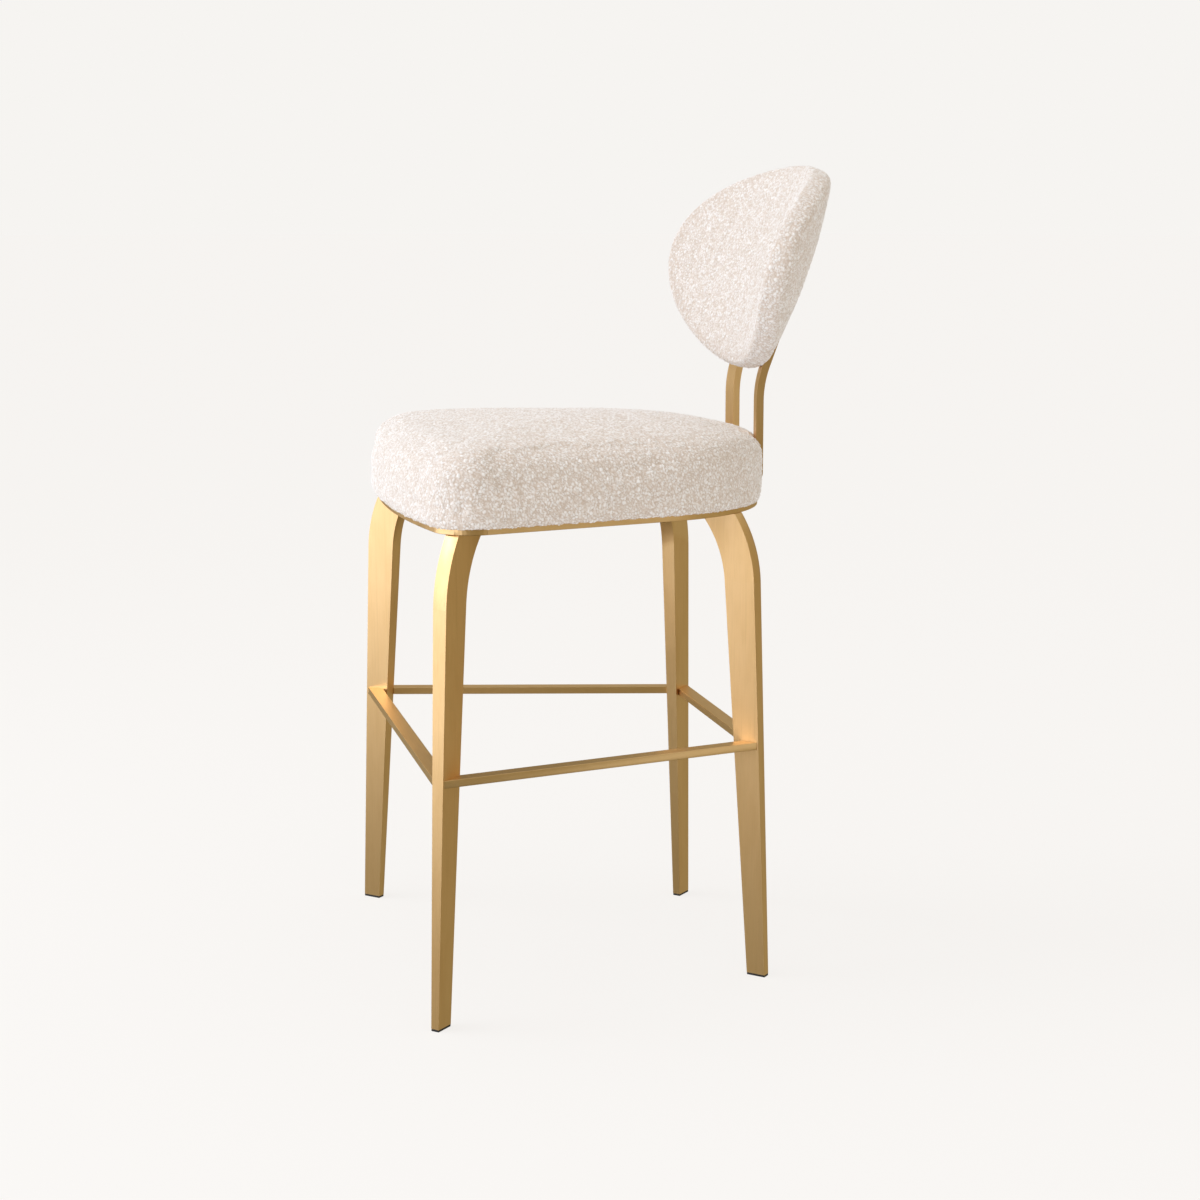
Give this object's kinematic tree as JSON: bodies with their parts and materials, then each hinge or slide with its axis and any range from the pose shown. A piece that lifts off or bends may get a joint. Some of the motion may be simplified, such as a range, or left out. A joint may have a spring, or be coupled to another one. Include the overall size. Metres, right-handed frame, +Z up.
{
  "type": "bar stool",
  "caption": "Bar stool with an upholstered seat, a curved back pad and a footrest between four tapered metal legs.",
  "frame": {"origin": "on the floor, midway between the stool's front and rear extremes and on its plane of symmetry", "axes": "+Z up, the stool faces -Y, +X towards the sitter's left"},
  "size_m": [0.6128, 0.6127, 1.0919],
  "materials": {
    "brass_finish": "brushed",
    "boucle": "nubby woven",
    "foam": "open cell",
    "plywood": "raw",
    "zinc": "zinc plated",
    "black_cloth": "non-woven",
    "black_plastic": "satin"
  },
  "bodies": {
    "root": {"front_left_leg": "brass_finish", "front_right_leg": "brass_finish", "rear_left_leg": "brass_finish", "rear_right_leg": "brass_finish", "front_left_glide": "black_plastic", "front_right_glide": "black_plastic", "rear_left_glide": "black_plastic", "rear_right_glide": "black_plastic", "front_footrest": "brass_finish", "left_stretcher": "brass_finish", "right_stretcher": "brass_finish", "rear_stretcher": "brass_finish", "front_rim": "brass_finish", "left_rim": "brass_finish", "right_rim": "brass_finish", "front_left_plate": "brass_finish", "front_right_plate": "brass_finish", "rear_left_plate": "brass_finish", "rear_right_plate": "brass_finish", "left_upright": "brass_finish", "right_upright": "brass_finish", "seat_board": "plywood", "seat_foam": "foam", "seat_cover": "boucle", "dust_cover": "black_cloth", "seat_screws": "zinc", "seat_t_nuts": "zinc", "foot_bolts": "zinc", "foot_t_nuts": "zinc", "cover_staples": "zinc", "dust_staples": "zinc", "back_board": "plywood", "back_foam": "foam", "back_cover": "boucle", "back_screws": "zinc", "back_t_nuts": "zinc"}
  },
  "joints": []
}
